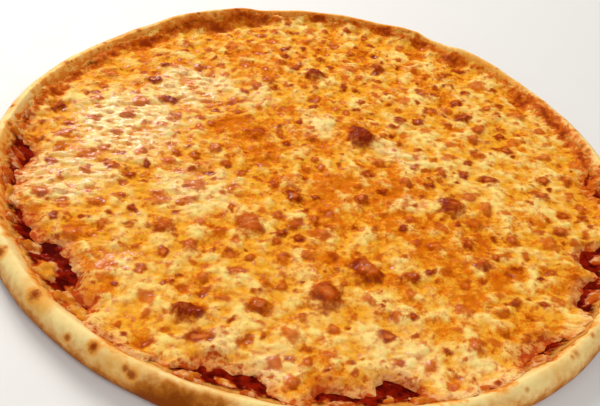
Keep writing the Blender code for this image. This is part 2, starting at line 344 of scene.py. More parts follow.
def pattern(name, x, y):
    """One of PATTERNS."""
    return sum(height * bumps(x, y, size * MM, level) for size, level, height in PATTERNS[name])


def strands(x, y, size, level):
    """Noise with narrow winding ridges, from 0 between them to 1 on their tops."""
    return 1 - np.minimum(np.abs(bumps(x, y, size, level)) * RIDGE_SHARPNESS, 1)


def shreds(x, y):
    """Ridges of melted shreds, longer than they are wide, that wander across the pizza."""
    across = y - SHRED_SLOPE * x + SHRED_WANDER * pattern("shred wander", x, y)
    return strands(x / SHRED_STRETCH, across, *SHREDS)


# The blisters and toasted spots

# Where oil gathered or, below zero, where the cheese is dry and yellow, as (x, y, half width in mm, share)
OIL_PLACES = (
    (-35, 8, 30, 1.0), (-9, -18, 24, 0.7), (41, -2, 20, 0.45), (86, -64, 27, 0.75), (30, -52, 24, 0.4),
    (-54, 26, 18, 0.8), (92, -129, 16, 0.5), (120, 17, 34, -1.0), (34, -132, 26, -0.9), (-6, -141, 28, -0.8),
    (-96, -100, 24, -0.15), (130, -40, 26, -0.4), (-30, -100, 18, -0.5), (60, 70, 22, -0.5),
    (10, 138, 36, 0.3), (-75, 110, 26, 0.3),
)

# Where the cheese looks paler, in the same way: partly cheese that stayed pale, and in the large places on
# the left a painted sheen. The spots in all of them are fewer and lighter.
PALE_PLACES = (
    (-126, 10, 36, 1.0), (-95, 66, 28, 0.9), (-52, 68, 16, 0.5), (-146, -48, 26, 0.8), (-6, -166, 11, 0.8),
    (-34, -158, 10, 0.5), (56, -148, 22, 0.45), (95, -152, 16, 0.5), (62, -22, 9, 0.6), (-70, -40, 24, 0.55),
    (47, 28, 11, 0.9), (60, 20, 10, 0.6), (-2, 42, 13, 0.6), (-100, -112, 12, 0.6), (60, -152, 12, 0.8),
)
PALE_LIGHTENS = 0.5

SPOT_SEED = 61
SPOT_SIZES_MM = ((70, 5.0, 7.0), (170, 3.2, 5.0), (280, 2.0, 3.2), (300, 1.0, 1.9))
SPOT_SPACING = 1.05
SPOT_EDGE_MARGIN = 1.5 * MM
SPOT_TRIES = 12
SPOT_STEEPNESS = (-0.1, 0.32)
SPOT_NARROWNESS = (0.55, 1.0)
SPOT_LEAST_DARK = 0.12
SPOT_MORE_DARK = 0.85
SPOT_DARK_POWER = 1.3
SPOTS_LEFT_OUT = 0.75
SEEDED_RISE = 0.7
SEEDED_DARKNESS = (0.2, 0.85)
BLISTER_NARROWNESS = (0.65, 1.0)
SPOT_FRAY = 0.9 * MM
SPOT_LOBES = 0.55
SPOT_LOBE_SIZE = 0.9
SPOT_FRAY_LEAST_RADIUS = 2.4 * MM
SPOT_FULL_RADIUS = 4.5 * MM
SPOT_LEAST_PEAK = 0.45
SPOT_OUTSIDE = -0.3
WRINKLE_SIZE = 4.5 * MM
WRINKLED_RADIUS = 9 * MM


def draw_place(draw, smallest, largest):
    """A random place on the pizza, a radius between two sizes in mm, and the room to the cheese's edge."""
    angle = draw.uniform(-math.pi, math.pi)
    distance = PIZZA_RADIUS * math.sqrt(draw.random())
    radius = draw.uniform(smallest, largest) * MM
    room = outline_radius(angle) - distance - radius - cheese_inset(angle)
    return distance * math.cos(angle), distance * math.sin(angle), radius, room


def relief_blisters():
    """(x, y, radius, height) of the blisters that the solids have, in metres, and in their order."""
    placed = [tuple(value * MM for value in row) for row in MAIN_BLISTERS]
    draw = random.Random(BLISTER_SEED)
    for number, smallest, largest, steepness in BLISTER_SIZES_MM:
        for _ in range(number):
            for _ in range(BLISTER_TRIES):
                x, y, radius, room = draw_place(draw, smallest, largest)
                apart = all(
                    math.hypot(x - bx, y - by) > BLISTER_SPACING * (radius + br) for bx, by, br, _ in placed
                )
                if room > BLISTER_EDGE_MARGIN and apart:
                    placed.append((x, y, radius, radius * steepness))
                    break
    return placed


def share_of(places, x, y):
    """The strongest of the places' shares at each point, fading out round each place."""
    strongest_here = np.zeros(len(x))
    for px, py, half_width, share in places:
        here = share * smooth_step(1.5 - np.hypot(x - px * MM, y - py * MM) / (half_width * MM))
        strongest_here = np.where(np.abs(here) > np.abs(strongest_here), here, strongest_here)
    return strongest_here


def share_at(places, x, y):
    """The same at one point."""
    return float(share_of(places, np.array([x]), np.array([y]))[0])


def toasted_spots():
    """Rows of (x, y, radius, height, darkness, narrowness, turn) of every toasted blister and spot."""
    draw = random.Random(SPOT_SEED)
    rows = []
    for number, (x, y, radius, height) in enumerate(relief_blisters()):
        if number < len(MAIN_DARKNESS):
            darkness = MAIN_DARKNESS[number]
        else:
            height *= SEEDED_RISE
            darkness = draw.uniform(*SEEDED_DARKNESS) * (1 - PALE_LIGHTENS * share_at(PALE_PLACES, x, y))
        narrow = draw.uniform(*BLISTER_NARROWNESS)
        rows.append((x, y, radius, height, darkness, narrow, draw.uniform(0, math.pi)))
    for count, smallest, largest in SPOT_SIZES_MM:
        for _ in range(count):
            for _ in range(SPOT_TRIES):
                x, y, radius, room = draw_place(draw, smallest, largest)
                if room < SPOT_EDGE_MARGIN:
                    continue
                oil, pale = share_at(OIL_PLACES, x, y), share_at(PALE_PLACES, x, y)
                if draw.random() < SPOTS_LEFT_OUT * max(-oil, pale):
                    break
                placed = np.array(rows)
                apart = np.hypot(placed[:, 0] - x, placed[:, 1] - y) > SPOT_SPACING * (placed[:, 2] + radius)
                if apart.all():
                    height = radius * draw.uniform(*SPOT_STEEPNESS)
                    darkness = SPOT_LEAST_DARK + SPOT_MORE_DARK * draw.random() ** SPOT_DARK_POWER
                    darkness *= 1 - PALE_LIGHTENS * pale
                    narrow = draw.uniform(*SPOT_NARROWNESS)
                    rows.append((x, y, radius, height, darkness, narrow, draw.uniform(0, math.pi)))
                    break
    return rows


def spot_fields(x, y, rows):
    """What the spots do at each point: how far inside one it is, from 1 in its middle to 0 at its outline
    and SPOT_OUTSIDE beyond it, how dark that spot is, and how high the surface rises there."""
    inside = np.full(len(x), -1.0)
    darkness = np.zeros(len(x))
    rise = np.zeros(len(x))
    fray = SPOT_FRAY * pattern("spot fray", x, y)
    order = np.argsort(x)
    sorted_x = x[order]
    for number, (sx, sy, radius, height, dark, narrow, turn) in enumerate(rows):
        reach = 2 * radius
        window = order[np.searchsorted(sorted_x, sx - reach) : np.searchsorted(sorted_x, sx + reach)]
        window = window[np.abs(y[window] - sy) < reach]
        across, along = x[window] - sx, y[window] - sy
        u = (across * math.cos(turn) + along * math.sin(turn)) / radius
        v = (along * math.cos(turn) - across * math.sin(turn)) / (radius * narrow)
        lobes = SPOT_LOBES * bumps(u, v, SPOT_LOBE_SIZE, number + 0.5)
        depth = 1 - np.hypot(u, v) - fray[window] / max(radius, SPOT_FRAY_LEAST_RADIUS) - lobes
        wrinkle = strands(u * radius, v * radius, WRINKLE_SIZE, number + 0.25)
        wrinkle *= min(radius / WRINKLED_RADIUS, 1)
        rise[window] += height * smooth_step(depth * 1.5) * (0.8 + 0.4 * wrinkle)
        depth = np.where(depth > 0, depth * min(max(radius / SPOT_FULL_RADIUS, SPOT_LEAST_PEAK), 1), depth)
        closer = depth > inside[window]
        inside[window[closer]] = depth[closer]
        darkness[window[closer]] = dark
    return np.maximum(inside, SPOT_OUTSIDE), darkness, rise


# Making meshes, nodes and pieces


def add_piece(name, slot, node, points, faces, material, sharp=(), **fields):
    """A smooth mesh piece that replaces a node of the frame. Each field is a number stored at every point.
    Points past its end take its least. Edges between the sharp points stay sharp."""
    points = np.asarray(points) - np.array(outline_middle())
    data = bpy.data.meshes.new(name)
    data.from_pydata(points.tolist(), [], faces)
    data.shade_smooth()
    if len(sharp):
        ends = np.empty(2 * len(data.edges), np.int32)
        data.edges.foreach_get("vertices", ends)
        crease = data.attributes.new("sharp_edge", "BOOLEAN", "EDGE")
        crease.data.foreach_set("value", np.isin(ends.reshape(-1, 2), sharp).all(1))
    for field, values in fields.items():
        stored = np.full(len(points), values.min(), np.float32)
        stored[: values.size] = values.ravel()
        data.attributes.new(field, "FLOAT", "POINT").data.foreach_set("value", stored)
    data.materials.append(material)
    piece = bpy.data.objects.new(name, data)
    bpy.context.scene.collection.objects.link(piece)
    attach(piece, BODY)
    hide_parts(node)
    return piece


def ring_faces(rings):
    """Quads between rings of points, each ring given by its points' numbers and closing on itself."""
    return [
        (outer[step], outer[step - 1], inner[step - 1], inner[step])
        for outer, inner in zip(rings, rings[1:])
        for step in range(len(outer))
    ]


def numbered_rings(count, size, first=0):
    """The points' numbers of so many rings of a size, one after another from the first."""
    return [list(range(first + ring * size, first + (ring + 1) * size)) for ring in range(count)]


def new_material(name):
    """An empty node material, its tree, and its Principled shader."""
    material = bpy.data.materials.new(name)
    material.use_nodes = True
    return material, material.node_tree, material.node_tree.nodes["Principled BSDF"]


# Each kind's type, the output that is used, and its usual settings
SHADER_NODES = {
    "field": ("ShaderNodeAttribute", "Fac", {}),
    "noise": ("ShaderNodeTexNoise", "Fac", {}),
    "blend in": ("ShaderNodeMapRange", "Result", {"interpolation_type": "SMOOTHSTEP"}),
    "scale": ("ShaderNodeMapRange", "Result", {}),
    "mix": ("ShaderNodeMix", "Result", {"data_type": "RGBA"}),
    "times": ("ShaderNodeMath", "Value", {"operation": "MULTIPLY"}),
    "times plus": ("ShaderNodeMath", "Value", {"operation": "MULTIPLY_ADD"}),
    "bump": ("ShaderNodeBump", "Normal", {}),
    "place": ("ShaderNodeTexCoord", "Object", {}),
}


def add(tree, kind, settings=None, **links):
    """Adds one of SHADER_NODES and gives its output. Settings are its properties, and links are as connect
    takes them."""
    node_type, output, usual = SHADER_NODES[kind]
    node = tree.nodes.new(node_type)
    for key, value in {**usual, **(settings or {})}.items():
        setattr(node, key, value)
    connect(tree, node, **links)
    return next(s for s in node.outputs if s.enabled and s.name == output)


def connect(tree, node, **links):
    """Sets or feeds a node's sockets. Each link is a socket's name with _ for a space, or in and its number,
    with the value or the output for it."""
    for key, value in links.items():
        if key[:2] == "in" and key[2:].isdigit():
            socket = node.inputs[int(key[2:])]
        else:
            socket = next(s for s in node.inputs if s.enabled and s.name == key.replace("_", " "))
        if isinstance(value, bpy.types.NodeSocket):
            tree.links.new(value, socket)
        else:
            socket.default_value = (*value, 1) if socket.type == "RGBA" else value


def stored(tree, names):
    """The numbers stored at each point of the mesh under these names."""
    return [add(tree, "field", {"attribute_name": name}) for name in names.split()]


def weighed(tree, first, *terms):
    """The first number, plus every other one times its weight."""
    for value, weight in terms:
        first = add(tree, "times plus", in0=value, in1=weight, in2=first)
    return first


def coat(tree, colour, over, value, start, full, above=1.0, below=0.0):
    """A colour with another over it, whose cover goes from below to above while the value goes from start
    to full."""
    cover = add(tree, "blend in", Value=value, From_Min=start, From_Max=full, To_Min=below, To_Max=above)
    return add(tree, "mix", Factor=cover, A=colour, B=over)


def browned(tree, look, place, colour):
    """The film that fat, sauce and cheese bake to at the rim: golden brown, red-brown at the bare patches.
    It runs over all three of them, so its pattern is the same in each."""
    blots = add(tree, "noise", Vector=place, Scale=1 / (5.5 * MM), Detail=5.0, Roughness=0.62)
    browning, blot = stored(tree, "browning blot")
    colour = coat(tree, colour, look.film_light, weighed(tree, browning, (blots, 2.6)), 1.8, 2.6, above=0.65)
    sauced = weighed(tree, blot, (blots, 2.6))
    film = coat(tree, look.film_red, look.film_dark, sauced, 1.55, 2.2)
    return coat(tree, colour, film, sauced, 1.2, 1.7, above=0.95)


# The cheese

CHEESE_EDGE_THIN = -0.08
CHEESE_TAPER = 12 * MM
CHEESE_EDGE_BAND = 14 * MM
CHEESE_BROWNED_BAND = 14 * MM
CHEESE_UNDER_INSET = 1.2 * MM
BEYOND_FOOT = 2 * MM
CHEESE_UNDER_SHARES = (0, 0.15, 0.3, 0.5, 0.75, 1)
CHEESE_SINKS = 0.7 * MM
CHEESE_LEAST_INSET = 9.6 * MM
CHEESE_EASES_OFF = 12.5 * MM
CHEESE_EVEN_RADIUS = PIZZA_RADIUS - RIM_WIDTH - CHEESE_STOPS_SHORT - 3 * MM
CHEESE_EVEN_SHARE = 0.74
MELT_PUSH = 1.5 * MM
MELT_RELIEF = 0.45
SHRED_RELIEF = 0.3
SHRED_RELIEF_WHERE_PALE = 0.9
SHRED_MIDDLE = 0.45
DRY_SMOOTHS = 0.35
BLOT_HELD_BACK = 0.3
CHEESE_EDGE_SHADING = 20 * MM
CHEESE_SAUCED_WIDTH = 5 * MM
BLOT_THINNING = 0.7
SAUCE_BED_STARTS = 1 * MM
SAUCE_BED_WIDTH = 4 * MM


def disc_grid(cells):
    """Points of a square grid bent to a unit disc without crowding, as x, y, faces and the border's order."""
    steps = np.linspace(-1, 1, cells + 1)
    a, b = np.meshgrid(steps, steps, indexing="ij")
    first = np.abs(a) > np.abs(b)
    radius = np.where(first, a, b)
    with np.errstate(divide="ignore", invalid="ignore"):
        turn = np.where(first, (math.pi / 4) * (b / a), (math.pi / 2) - (math.pi / 4) * (a / b))
    turn = np.nan_to_num(turn)
    n = cells + 1
    border = [(i, 0) for i in range(n)] + [(n - 1, j) for j in range(1, n)]
    border += [(i, n - 1) for i in range(n - 2, -1, -1)] + [(0, j) for j in range(n - 2, 0, -1)]
    corners = np.arange(cells)[:, None] * n + np.arange(cells)
    quads = np.stack([corners, corners + n, corners + n + 1, corners + 1], -1).reshape(-1, 4)
    faces = [tuple(quad) for quad in quads.tolist()]
    order = [i * n + j for i, j in border]
    return (radius * np.cos(turn)).ravel(), (radius * np.sin(turn)).ravel(), faces, order


def cheese_plan(look):
    """The cheese from above: x, y, angle, inset, distance from the melted edge, faces and border."""
    u, v, faces, border = disc_grid(CHEESE_CELLS)
    angle = np.arctan2(v, u)
    share = np.hypot(u, v)
    edge = at("outline", angle) - at("melted", angle)
    reach = smooth_step((share - CHEESE_EVEN_SHARE) / (1 - CHEESE_EVEN_SHARE)) * share
    radius = share * CHEESE_EVEN_RADIUS + (edge - CHEESE_EVEN_RADIUS) * reach
    from_edge = edge - radius
    x, y = radius * np.cos(angle), radius * np.sin(angle)

    # Melted edges wander, so the band next to the edge is pushed about, but never over the rim's crest
    push = look.edge_wander * smooth_step(1 - from_edge / CHEESE_EDGE_BAND)
    x, y = x + push * pattern("edge across", x, y), y + push * pattern("edge along", x, y)
    angle, inset = polar(x, y)
    span = CHEESE_EASES_OFF - CHEESE_LEAST_INSET
    eased = CHEESE_LEAST_INSET + span * np.exp(np.minimum(inset - CHEESE_EASES_OFF, 0) / span)
    inset = np.where(inset < CHEESE_EASES_OFF, eased, inset)
    radius = at("outline", angle) - inset
    return radius * np.cos(angle), radius * np.sin(angle), angle, inset, from_edge, faces, border


def cheese_underside(angle, inset, bed):
    """Rings of points, from the border inwards, that follow the dough so that nothing below shows through."""
    first = inset + CHEESE_UNDER_INSET
    last = np.maximum(at("foot", angle), first) + BEYOND_FOOT
    rings = []
    for share in CHEESE_UNDER_SHARES:
        ring = first + (last - first) * share
        radius = at("outline", angle) - ring
        height = dough_top(angle, ring) + SAUCE_THICKNESS * bed - CHEESE_SINKS
        rings.append(np.stack([radius * np.cos(angle), radius * np.sin(angle), height], 1))
    return rings


def build_cheese(look):
    x, y, angle, inset, from_edge, faces, border = cheese_plan(look)
    inside, darkness, rise = spot_fields(x, y, toasted_spots())
    oil, pale = share_of(OIL_PLACES, x, y), share_of(PALE_PLACES, x, y)
    blot, browning = blot_depth(angle, inset), at("browning", angle)

    # The sheet thins to its edge and where it browned, and its fine relief and the spots lie on it
    melt = strands(x + MELT_PUSH * pattern("melt push", x, y), y, look.strand_size, MELT_SLICE)
    shredded = (SHRED_RELIEF + SHRED_RELIEF_WHERE_PALE * pale) * (shreds(x, y) - SHRED_MIDDLE)
    uneven_top = MELT_RELIEF * (melt - 0.5) + pattern("lumps, clots and beads", x, y) + shredded
    relief = look.relief * uneven_top * (1 - DRY_SMOOTHS * np.maximum(-oil, 0))
    swell = bumps(x, y, CHEESE_SWELL_SIZE, 0.0) * CHEESE_SWELL
    rounding = np.clip(from_edge / CHEESE_TAPER, 0, 1)
    body = CHEESE_EDGE_THIN + (1 - CHEESE_EDGE_THIN) * np.sin(rounding * math.pi / 2)
    body *= 1 - BLOT_THINNING * smooth_step(0.4 + blot) * browning
    bed = smooth_step((inset - at("sauce", angle) + SAUCE_BED_STARTS) / SAUCE_BED_WIDTH)
    below = dough_top(angle, inset) + (SAUCE_THICKNESS + LAYER_GAP) * bed
    top = below + CHEESE_THICKNESS * body + (swell + relief + rise) * np.clip(rounding * 2, 0.15, 1)

    under = cheese_underside(angle[border], inset[border], bed[border])
    rings = [border] + numbered_rings(len(under), len(border), len(x))
    faces += ring_faces(rings)
    faces.append(tuple(reversed(rings[-1])))
    points = np.concatenate([np.stack([x, y, top], 1)] + under)
    return add_piece(
        "cheese_melted", "cheese", "cheese", points, faces, mozzarella(look), border,
        inside=inside, darkness=darkness, oil=oil, pale=pale,
        # The relief's height; the colours use it for a painted highlight on the ridges and painted shade in
        # the hollows
        high=np.clip(0.5 + 0.4 * uneven_top, 0, 1),
        from_edge=np.clip(from_edge / CHEESE_EDGE_SHADING, 0, 1),
        sauced=smooth_step((at("melted", angle) - at("sauce", angle)) / CHEESE_SAUCED_WIDTH),
        browning=browning * smooth_step(1.1 - from_edge / CHEESE_BROWNED_BAND),
        blot=np.maximum(blot - BLOT_HELD_BACK * (1 - browning), -1),
        reddened=at("reddened", angle),
    )


def mozzarella(look):
    """Low-moisture mozzarella, grated, melted and browned. The shreds fuse to a golden sheet whose high
    places are paler, partly pale cheese and partly a painted highlight. Oil turns it orange in patches, more
    in the hollows, partly oil pooled there and partly painted shade, and bubbles toast to brown spots with
    soft, uneven edges."""
    material, tree, shader = new_material("mozzarella_melted_browned")
    place = add(tree, "place")
    fine = add(tree, "noise", Vector=place, Scale=1 / (1.7 * MM), Detail=2.0, Roughness=0.55)
    clots = add(tree, "noise", Vector=place, Scale=1 / (4.5 * MM), Detail=3.0, Roughness=0.5)
    clouds = add(tree, "noise", Vector=place, Scale=1 / (15 * MM), Detail=3.0, Roughness=0.5, Distortion=0.6)
    patches = add(tree, "noise", Vector=place, Scale=1 / (42 * MM), Detail=2.0)
    inside, darkness, high, from_edge = stored(tree, "inside darkness high from_edge")
    oil, pale, sauced, reddened, browning = stored(tree, "oil pale sauced reddened browning")

    # Gold, and cream over the high places, partly pale cheese ridges and partly a painted highlight, milkier
    # as painted sheen in the pale places. Orange where the oil stands, more in the hollows, partly pooled oil
    # and partly painted shade
    lighter = add(tree, "times", in0=pale, in1=0.4)
    gold = add(tree, "mix", Factor=lighter, A=look.cheese_gold, B=look.cheese_cream_and_highlight)
    ridge_cream_and_highlight = add(tree, "mix", Factor=pale, A=look.cheese_cream_and_highlight, B=look.cheese_milky_and_sheen)
    height = weighed(tree, high, (fine, 0.55), (clouds, -0.9), (pale, look.pale_strength), (oil, -0.2))
    colour = coat(tree, gold, ridge_cream_and_highlight, height, 0.13, 0.8)
    wet = add(tree, "times", in0=patches, in1=1.8)
    wet = weighed(tree, wet, (clouds, 2.6), (clots, 1.3), (fine, 1.5))
    wet = weighed(tree, wet, (oil, 0.42), (high, -0.5), (pale, -0.3))
    colour = coat(tree, colour, look.cheese_orange, wet, 3.2, 4.1, above=0.9)

    # The thin melted edge is paler and pinker, and the sauce stains it
    thin = weighed(tree, from_edge, (fine, 0.25))
    thin = add(tree, "blend in", Value=thin, From_Min=0.15, From_Max=0.5, To_Min=0.75, To_Max=0.0)
    thin = add(tree, "times", in0=thin, in1=add(tree, "scale", Value=browning, To_Min=1.0, To_Max=0.0))
    colour = add(tree, "mix", Factor=thin, A=colour, B=look.cheese_edge)
    clean = weighed(tree, from_edge, (clots, 2.2), (fine, 0.6), (reddened, -0.33), (sauced, -0.25))
    colour = coat(tree, colour, look.sauce_fat, clean, 0.95, 1.55, above=0.0, below=0.55)
    colour = coat(tree, colour, look.cheese_stained, clean, 0.8, 1.35, above=0.0, below=0.95)

    # Toasted spots: an orange halo, then the toast, darkest along its ragged outline and darker in the
    # hollows as painted shade, with a painted highlight on the tops of the blisters
    ragged = weighed(tree, inside, (clots, 1.6), (fine, 0.6))
    colour = coat(tree, colour, look.cheese_orange, ragged, 0.6, 1.3, above=0.75)
    outline = add(tree, "blend in", Value=ragged, From_Min=1.35, From_Max=2.0, To_Min=0.6, To_Max=0.0)
    depth = weighed(tree, darkness, (fine, 1.6), (outline, 1.0), (high, -0.6), (clots, 2.0))
    dark = add(tree, "blend in", Value=depth, From_Min=1.8, From_Max=3.1)
    toast = add(tree, "mix", Factor=dark, A=look.toast_light, B=look.toast_dark)
    # Painted highlight: the blister tops turn lighter and pinker, least where the toast is darkest
    crown_highlight = weighed(tree, inside, (fine, 0.9))
    crown_highlight = add(tree, "blend in", Value=crown_highlight, From_Min=0.95, From_Max=1.4, To_Max=0.65)
    crown_highlight = add(tree, "times", in0=crown_highlight, in1=add(tree, "scale", Value=dark, To_Min=1.0, To_Max=0.1))
    toast = add(tree, "mix", Factor=crown_highlight, A=toast, B=look.blister_top_highlight)
    core = add(tree, "blend in", Value=ragged, From_Min=0.8, From_Max=1.72, To_Max=0.97)
    strength = add(tree, "scale", Value=darkness, From_Max=0.7, To_Min=0.45, To_Max=1.0)
    colour = add(tree, "mix", Factor=add(tree, "times", in0=core, in1=strength), A=colour, B=toast)
    colour = browned(tree, look, place, colour)

    # Oil shines in small places, and on the tops of the blisters
    shine = weighed(tree, clots, (pale, 0.28), (fine, 0.7), (inside, 0.08))
    wet = add(tree, "blend in", Value=shine, From_Min=0.93, From_Max=1.18, To_Min=0.01, To_Max=0.6)
    gloss = add(tree, "blend in", Value=shine, From_Min=0.8, From_Max=1.1, To_Min=0.42, To_Max=0.3)
    soft = add(tree, "noise", Vector=place, Scale=1 / (3.6 * MM), Detail=1.5, Roughness=0.4)
    smoother = add(tree, "scale", Value=pale, To_Min=1.0, To_Max=0.45)
    grain = add(tree, "bump", Height=soft, Strength=smoother, Distance=1.25 * MM)
    connect(
        tree, shader, Base_Color=colour, Roughness=gloss, Normal=grain, IOR=1.4, Specular_IOR_Level=wet,
        Subsurface_Weight=0.35, Subsurface_Radius=(1.0, 0.5, 0.2), Subsurface_Scale=3.5 * MM,
    )
    return material


# The sauce

SAUCE_ROWS = 40
SAUCE_UNDER_ROWS = (0, 4, 8, 13, 19, 26, 32, 39)
SAUCE_UNDER_CHEESE = 9 * MM
SAUCE_SINKS = 0.35 * MM
SAUCE_EDGE_ROUNDING = 3 * MM
SAUCE_FRAY = 0.5
SAUCE_COVERED_FROM_EDGE = 4 * MM
SAUCE_EDGE_SHADING = 10 * MM
SAUCE_BLOT_HELD_BACK = 1.2
ISLAND_HEIGHT = 2.2 * MM

# Cheese that melted apart on the sauce, as (degrees, distance, half length, half width in mm, share of gold)
CHEESE_ISLANDS = (
    (-136, 184, 10, 6.5, 0.6), (-143, 185, 6.5, 5.5, 0.3), (-129, 183, 7.5, 8.0, 0.35),
    (-123.5, 186, 7.5, 5.5, 0.6), (-150, 188, 6.0, 4.4, 0.2), (-156, 186.5, 7.2, 5.6, 0.45),
    (-161, 188, 6.2, 4.2, 0.1), (-167, 184, 6.0, 4.4, 0.15), (-174, 187, 7.0, 4.8, 0.4),
    (-179, 190, 5.8, 3.8, 0.2), (-118, 187, 7.0, 4.8, 0.25), (-99, 181, 6.0, 3.2, 0.5),
    (-104, 187, 7.5, 4.6, 0.3), (-95, 188, 5.5, 3.6, 0.1), (-88.5, 185, 8.0, 5.4, 0.35),
    (-81, 187, 6.4, 4.4, 0.1), (-74, 182, 5.0, 3.4, 0.45), (-69, 186, 6.0, 4.4, 0.3),
    (-61, 187, 6.0, 4.0, 0.5), (-47, 186, 6.0, 4.2, 0.3), (-26, 184, 5.6, 4.2, 0.2),
    (-14, 181, 5.2, 4.0, 0.2), (9, 186, 5.6, 3.8, 0.3), (40, 183, 4, 3, 0.2), (113, 186, 5, 3, 0.2),
    (124, 183, 6, 3, 0.2), (140, 186, 5, 3, 0.2),
)


def island_share(angle, distance):
    """How far inside an island of cheese each point is, from 1 in its middle to 0 at its outline and below,
    and how golden that island is."""
    share = np.full(np.shape(angle), -1.0)
    gold = np.zeros(np.shape(angle))
    for degrees, middle, half_long, half_wide, golden in CHEESE_ISLANDS:
        across = np.radians(degrees_from(angle, degrees)) * distance / (half_long * MM)
        here = 1 - np.hypot(across, (distance - middle * MM) / (half_wide * MM))
        gold = np.where(here > share, golden, gold)
        share = np.maximum(share, here)
    return share, gold


def build_sauce(look):
    turn = np.array(ANGLES[:-1])
    frays = pattern("sauce edge", PIZZA_RADIUS * np.cos(turn), PIZZA_RADIUS * np.sin(turn))
    outer = at("sauce", turn) + SAUCE_FRAY * look.edge_wander * frays
    inner = at("cheese", turn) + SAUCE_UNDER_CHEESE
    inset = outer + (inner - outer) * np.linspace(0, 1, SAUCE_ROWS)[:, None]
    from_edge = (inset - outer).ravel()
    inset, angle = inset.ravel(), np.tile(turn, SAUCE_ROWS)
    radius = at("outline", angle) - inset
    x, y = radius * np.cos(angle), radius * np.sin(angle)

    # Pulp lies open inside the rim and flattens under the cheese, and islands of cheese stand on it
    covered = smooth_step((inset - at("melted", angle)) / SAUCE_COVERED_FROM_EDGE)
    pulp = pattern("pulp", x, y) + 0.6 * strands(x, y, *PULP_STRANDS) - 0.3
    island, gold = island_share(angle, radius)
    island = island + pattern("islands", x, y)
    lifted = ISLAND_HEIGHT * smooth_step(island * 1.2) * (1 + pattern("island tops", x, y)) * (1 - covered)
    layer = SAUCE_THICKNESS + LAYER_GAP + SAUCE_SINKS + look.pulp * (pulp * (1 - covered) - covered)
    full = np.sqrt(1 - (1 - np.clip(from_edge / SAUCE_EDGE_ROUNDING, 0, 1)) ** 2)
    dough_height = dough_top(angle, inset)
    top = dough_height - SAUCE_SINKS + (layer + lifted) * full

    # The underside follows the dough, just inside it
    rings = numbered_rings(SAUCE_ROWS + len(SAUCE_UNDER_ROWS), AROUND)
    under = np.concatenate([rings[row] for row in SAUCE_UNDER_ROWS])
    height = np.append(top, dough_height[under] - 2 * SAUCE_SINKS)
    points = np.stack([np.append(x, x[under]), np.append(y, y[under]), height], 1)
    faces = ring_faces(rings[SAUCE_ROWS - 1 :: -1]) + ring_faces(rings[:1] + rings[SAUCE_ROWS:])
    faces += [tuple(rings[SAUCE_ROWS - 1]), tuple(reversed(rings[-1]))]
    browning = at("browning", angle)
    return add_piece(
        "sauce_tomato", "sauce", "sauce", points, faces, tomato(look),
        from_edge=np.clip(from_edge / SAUCE_EDGE_SHADING, 0, 1), pulp=np.clip(0.5 + 0.5 * pulp, 0, 1),
        island=np.clip(island, -1, 1), gold=gold,
        browning=browning, blot=blot_depth(angle, inset) - SAUCE_BLOT_HELD_BACK * (1 - browning),
    )


def tomato(look):
    """Cooked crushed tomato, baked open. It dries to a dark, wet-looking red pulp, orange where fat floats on
    it and where it runs out thin on the dough."""
    material, tree, shader = new_material("tomato_sauce_baked")
    place = add(tree, "place")
    fine = add(tree, "noise", Vector=place, Scale=1 / (1.6 * MM), Detail=3.0, Roughness=0.6)
    clots = add(tree, "noise", Vector=place, Scale=1 / (5 * MM), Detail=3.0)
    edge, pulp, island, gold = stored(tree, "from_edge pulp island gold")
    colour = coat(tree, look.sauce_dark, look.sauce_red, weighed(tree, pulp, (clots, 1.0)), 0.7, 1.4)
    fat = weighed(tree, clots, (edge, -0.35), (fine, 0.5))
    colour = coat(tree, colour, look.sauce_fat, fat, 0.6, 0.85, above=0.9)
    thick = weighed(tree, edge, (fine, 0.5))
    colour = coat(tree, colour, look.sauce_thin, thick, 0.25, 0.65, above=0.0, below=0.9)

    # Islands of cheese, red-orange where they run out and golden in the middle
    melted_in = weighed(tree, island, (fine, 0.5))
    pinker = coat(tree, look.cheese_stained, look.cheese_edge, clots, 0.48, 0.68, above=0.6)
    colour = coat(tree, colour, pinker, melted_in, 0.1, 0.4, above=0.95)
    golden = add(tree, "blend in", Value=melted_in, From_Min=0.3, From_Max=0.8)
    golden = add(tree, "times", in0=golden, in1=gold)
    colour = add(tree, "mix", Factor=golden, A=colour, B=look.cheese_gold)
    colour = browned(tree, look, place, colour)
    shine = weighed(tree, clots, (fine, 1.0))
    wet = add(tree, "blend in", Value=shine, From_Min=1.15, From_Max=1.4, To_Min=0.01, To_Max=0.5)
    gloss = add(tree, "blend in", Value=shine, From_Min=1.1, From_Max=1.4, To_Min=0.6, To_Max=0.2)
    grain = add(tree, "bump", Height=fine, Strength=0.7, Distance=0.7 * MM)
    connect(tree, shader, Base_Color=colour, Roughness=gloss, Normal=grain, IOR=1.38, Specular_IOR_Level=wet)
    return material


# The dough

# Toasted spots on the rim, as (degrees, distance outwards from the crest, radius, darkness), lengths in mm
RIM_SPOTS = (
    (-110.5, 6.3, 3.0, 0.9), (-111.7, 5.3, 2.2, 0.8), (-117.3, 4.3, 3.4, 1.0), (-121.5, 8, 2.2, 0.8),
    (-130.3, 3.0, 4.6, 1.0), (-141, 4.8, 3.4, 0.9), (-147, 3, 2.6, 0.8), (-43.5, 3, 1.6, 0.7),
    (-54, 5, 1.5, 0.5), (-37, 2, 2, 0.6), (152, -2, 2, 0.7), (120.5, -3, 3, 0.7), (95, -3, 3, 0.6),
    (73, -1, 2, 0.6), (18, -2, 2.5, 0.7),
)
RIM_SPOT_SEED = 29
RIM_SPOT_COUNT = 30
RIM_SPOT_RADII_MM = (1.2, 3.4)
RIM_SPOT_MIDDLE_AND_SPREAD_MM = (-1.5, 3.5)
RIM_SPOT_DARKNESS = (0.55, 1.0)
RIM_SPOT_FRAY = 0.3
FLANK_STARTS = 5 * MM
STAIN_FADES = 6 * MM
DOUGH_BLOT_HELD_BACK = 0.25
LOWER_STEPS = 10
